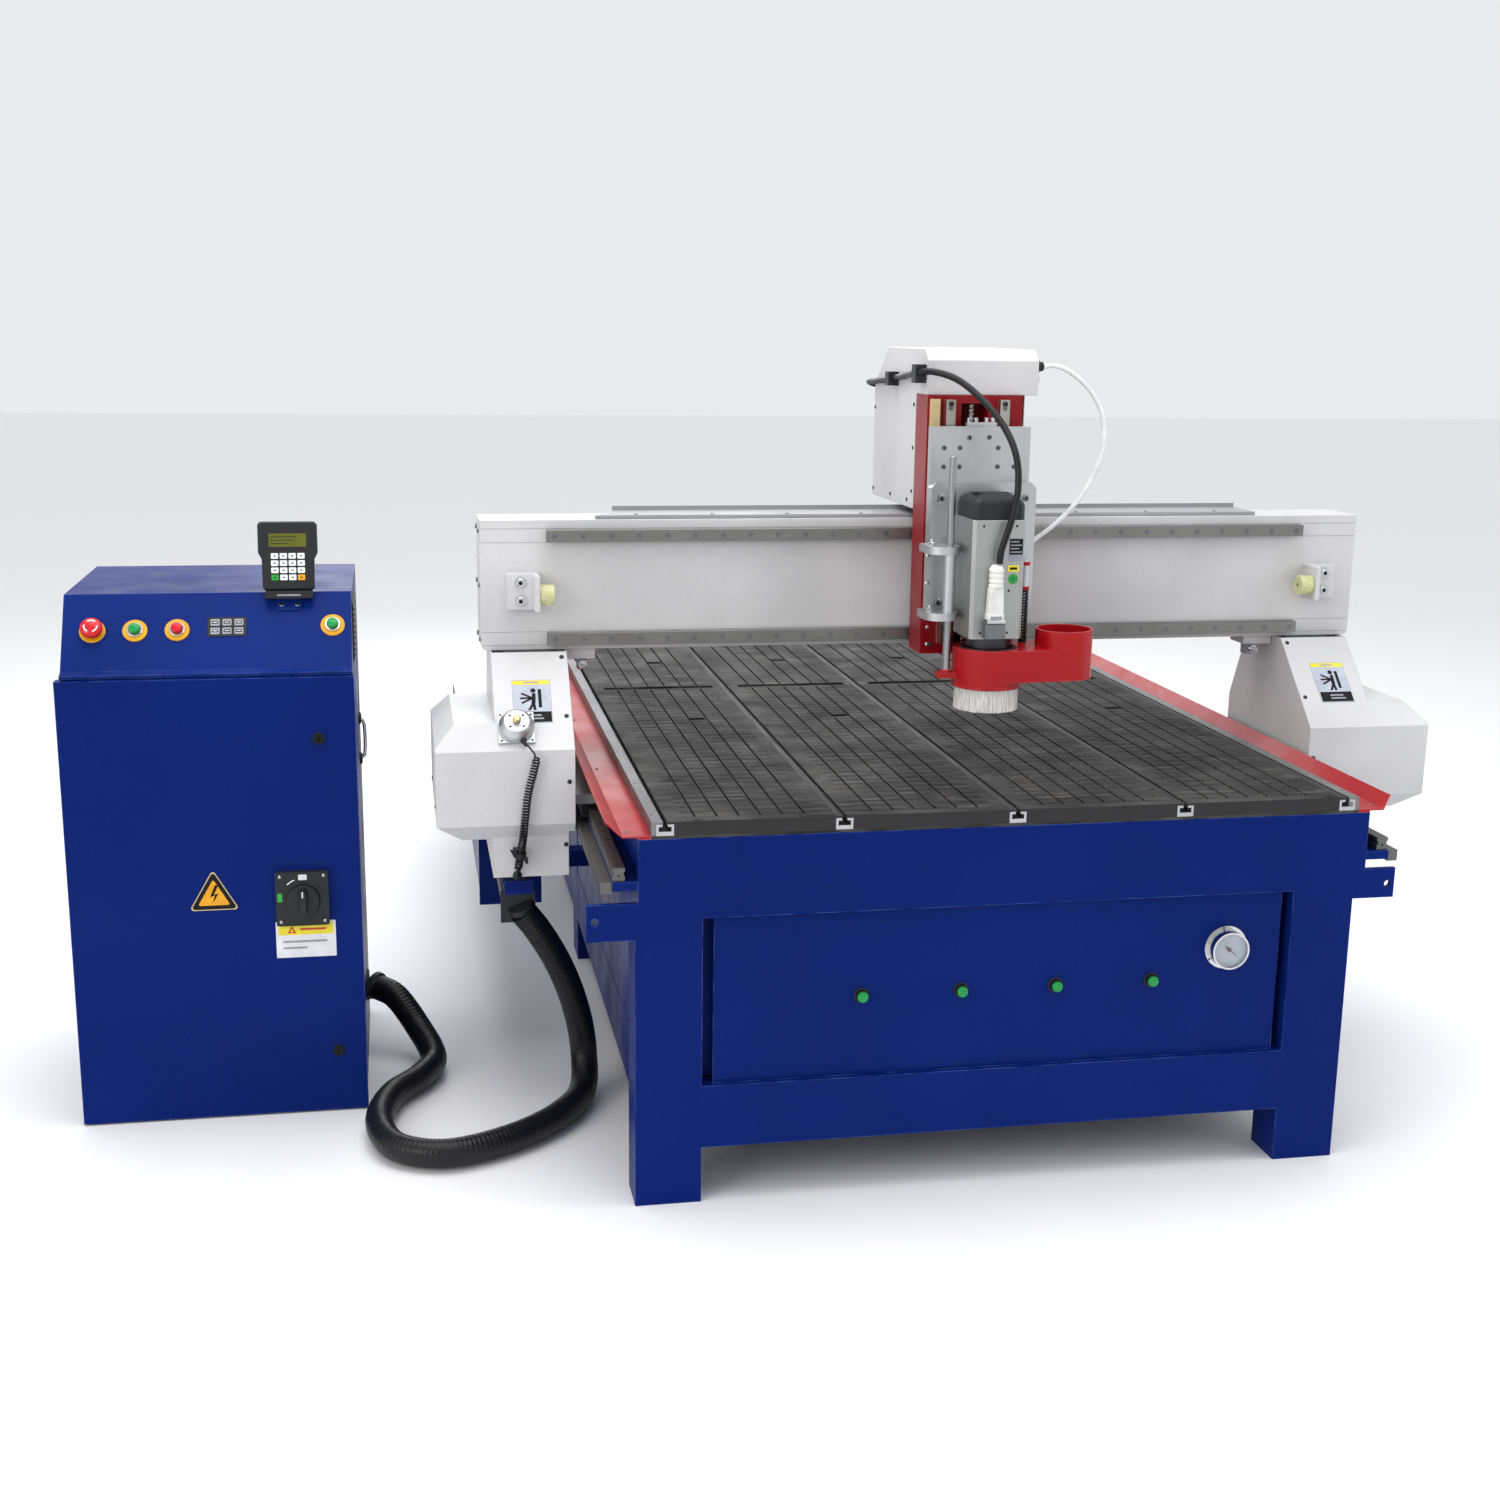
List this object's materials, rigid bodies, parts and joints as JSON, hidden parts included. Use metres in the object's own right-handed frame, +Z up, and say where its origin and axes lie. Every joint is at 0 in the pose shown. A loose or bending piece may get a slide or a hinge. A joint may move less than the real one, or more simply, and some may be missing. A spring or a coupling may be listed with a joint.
{
  "type": "cnc router",
  "caption": "Moving-gantry CNC router with a vacuum T-slot bed, air-cooled spindle, dust shoe, tool setter and free-standing control cabinet.",
  "frame": {"origin": "middle of the whole machine's footprint, cabinet included, on the floor", "axes": "+X to the operator's right along the gantry, +Y from the front of the bed to its back, +Z up"},
  "size_m": [2.961, 3.078, 1.638],
  "materials": {
    "blue_paint": "semi-gloss",
    "white_paint": "semi-gloss",
    "red_paint": "semi-gloss",
    "grey_steel": "satin",
    "black_paint": "satin",
    "rail_steel": "ground",
    "aluminium": "satin",
    "chrome": "polished",
    "brass": "polished",
    "pvc_board": "matte",
    "black_plastic": "satin",
    "drive_housing": "satin",
    "cable_black": "satin",
    "polyurethane": "satin",
    "clear_tube": "gloss",
    "green_lens": "gloss",
    "red_lens": "gloss",
    "bristle": "matte"
  },
  "bodies": {
    "machine": {"front_frame": "blue_paint", "rear_frame": "blue_paint", "bed_deck": "blue_paint", "vacuum_bed": "pvc_board", "t_slot_tracks": "aluminium", "side_frame_left": "blue_paint", "side_frame_right": "blue_paint", "guard_left": "red_paint", "guard_right": "red_paint", "y_rail_left": "rail_steel", "y_rail_right": "rail_steel", "y_rack_left": "rail_steel", "y_rack_right": "rail_steel", "vacuum_gauge": "chrome", "chain_trough": "blue_paint", "cabinet_shell": "blue_paint", "drive_rack": "drive_housing", "conduit": "cable_black"},
    "needle": {"gauge_needle": "black_plastic"},
    "gantry": {"gantry_leg_left": "grey_steel", "gantry_leg_right": "grey_steel", "leg_cover_left": "white_paint", "leg_cover_right": "white_paint", "gantry_beam": "white_paint", "x_rail_lower": "rail_steel", "x_rail_upper": "rail_steel", "beam_shelf": "grey_steel", "buffer_left": "polyurethane", "buffer_right": "polyurethane", "tool_setter": "aluminium", "setter_cord": "cable_black"},
    "plunger": {"setter_plunger": "brass"},
    "pinion_left": {"y_pinion_left": "rail_steel"},
    "pinion_right": {"y_pinion_right": "rail_steel"},
    "carriage": {"z_column": "red_paint", "z_motor": "black_paint", "carriage_cover": "white_paint", "x_motor": "black_paint", "spindle_cable": "cable_black", "air_tube": "clear_tube"},
    "carriage_pinion": {"x_pinion": "rail_steel"},
    "ball_screw": {"z_screw": "rail_steel"},
    "z_slide": {"z_plate": "aluminium", "spindle_body": "aluminium"},
    "rotor": {"spindle_rotor": "rail_steel"},
    "shoe": {"dust_shoe": "red_paint", "brush_skirt": "bristle"},
    "door": {"cabinet_door": "blue_paint"},
    "lock_upper": {"door_lock_upper": "black_plastic"},
    "lock_lower": {"door_lock_lower": "black_plastic"},
    "isolator": {"isolator_knob": "black_plastic"},
    "estop": {"estop_button": "red_lens"},
    "start": {"start_button": "green_lens"},
    "stop": {"stop_button": "red_lens"},
    "vacuum_switch": {"vacuum_button": "green_lens"},
    "handheld": {"handheld_controller": "black_plastic"},
    "zone_1": {"zone_button_1": "green_lens"},
    "zone_2": {"zone_button_2": "green_lens"},
    "zone_3": {"zone_button_3": "green_lens"},
    "zone_4": {"zone_button_4": "green_lens"}
  },
  "joints": [
    {"name": "gantry_travel", "type": "slide", "parent": "machine", "child": "gantry", "axis": [0, 1, 0], "range_m": [-0.38, 2.12]},
    {"name": "carriage_travel", "type": "slide", "parent": "gantry", "child": "carriage", "axis": [1, 0, 0], "range_m": [-0.775, 0.7]},
    {"name": "z_travel", "type": "slide", "parent": "carriage", "child": "z_slide", "axis": [0, 0, 1], "range_m": [-0.1, 0.055], "deforming": ["spindle_cable", "air_tube"]},
    {"name": "shoe_lift", "type": "slide", "parent": "z_slide", "child": "shoe", "axis": [0, 0, 1], "range_m": [-0.028, 0.018]},
    {"name": "spindle_spin", "type": "hinge", "parent": "z_slide", "child": "rotor", "pos_m": [0.4145, -1.171, 1.04], "axis": [0, 0, 1], "continuous": true},
    {"name": "screw_turn", "type": "hinge", "parent": "carriage", "child": "ball_screw", "pos_m": [0.4145, -0.991, 1.27], "axis": [0, 0, 1], "continuous": true},
    {"name": "carriage_pinion_turn", "type": "hinge", "parent": "carriage", "child": "carriage_pinion", "pos_m": [0.4145, -0.722, 1.246], "axis": [0, 0, 1], "continuous": true},
    {"name": "pinion_left_turn", "type": "hinge", "parent": "gantry", "child": "pinion_left", "pos_m": [-0.425, -0.889, 0.617], "axis": [1, 0, 0], "continuous": true},
    {"name": "pinion_right_turn", "type": "hinge", "parent": "gantry", "child": "pinion_right", "pos_m": [1.178, -0.889, 0.617], "axis": [1, 0, 0], "continuous": true},
    {"name": "setter_press", "type": "slide", "parent": "gantry", "child": "plunger", "axis": [0, 0.7071, -0.7071], "range_m": [0, 0.004], "stiffness_N_per_m": 600, "springref_m": -0.002},
    {"name": "needle_swing", "type": "hinge", "parent": "machine", "child": "needle", "pos_m": [0.8315, -1.5285, 0.469], "axis": [0, 1, 0], "range_deg": [-262, 0]},
    {"name": "zone_press_1", "type": "slide", "parent": "machine", "child": "zone_1", "axis": [0, 1, 0], "range_m": [0, 0.004], "stiffness_N_per_m": 500, "springref_m": -0.002},
    {"name": "zone_press_2", "type": "slide", "parent": "machine", "child": "zone_2", "axis": [0, 1, 0], "range_m": [0, 0.004], "stiffness_N_per_m": 500, "springref_m": -0.002},
    {"name": "zone_press_3", "type": "slide", "parent": "machine", "child": "zone_3", "axis": [0, 1, 0], "range_m": [0, 0.004], "stiffness_N_per_m": 500, "springref_m": -0.002},
    {"name": "zone_press_4", "type": "slide", "parent": "machine", "child": "zone_4", "axis": [0, 1, 0], "range_m": [0, 0.004], "stiffness_N_per_m": 500, "springref_m": -0.002},
    {"name": "door_swing", "type": "hinge", "parent": "machine", "child": "door", "pos_m": [-1.4805, -0.937, 0.483], "axis": [0, 0, -1], "range_deg": [0, 110]},
    {"name": "lock_upper_turn", "type": "hinge", "parent": "door", "child": "lock_upper", "pos_m": [-0.9625, -0.971, 0.832], "axis": [0, 1, 0], "range_deg": [0, 90]},
    {"name": "lock_lower_turn", "type": "hinge", "parent": "door", "child": "lock_lower", "pos_m": [-0.9455, -0.971, 0.141], "axis": [0, 1, 0], "range_deg": [0, 90]},
    {"name": "isolator_turn", "type": "hinge", "parent": "door", "child": "isolator", "pos_m": [-1.0065, -0.991, 0.486], "axis": [0, 1, 0], "range_deg": [0, 90]},
    {"name": "estop_press", "type": "slide", "parent": "machine", "child": "estop", "axis": [0, 0.8027, -0.5964], "range_m": [0, 0.006], "stiffness_N_per_m": 800, "springref_m": -0.002},
    {"name": "start_press", "type": "slide", "parent": "machine", "child": "start", "axis": [0, 0.8027, -0.5964], "range_m": [0, 0.004], "stiffness_N_per_m": 500, "springref_m": -0.002},
    {"name": "stop_press", "type": "slide", "parent": "machine", "child": "stop", "axis": [0, 0.8027, -0.5964], "range_m": [0, 0.004], "stiffness_N_per_m": 500, "springref_m": -0.002},
    {"name": "vacuum_switch_press", "type": "slide", "parent": "machine", "child": "vacuum_switch", "axis": [0, 0.8027, -0.5964], "range_m": [0, 0.004], "stiffness_N_per_m": 500, "springref_m": -0.002},
    {"name": "handheld_lift", "type": "slide", "parent": "machine", "child": "handheld", "axis": [0, 0.2079, 0.9781], "range_m": [0, 0.1]}
  ],
  "couplings": [
    {"joint": "pinion_left_turn", "follows": "gantry_travel", "rad_per_m": 57.471},
    {"joint": "pinion_right_turn", "follows": "gantry_travel", "rad_per_m": 57.471},
    {"joint": "carriage_pinion_turn", "follows": "carriage_travel", "rad_per_m": -57.471},
    {"joint": "screw_turn", "follows": "z_travel", "rad_per_m": 628.32}
  ]
}
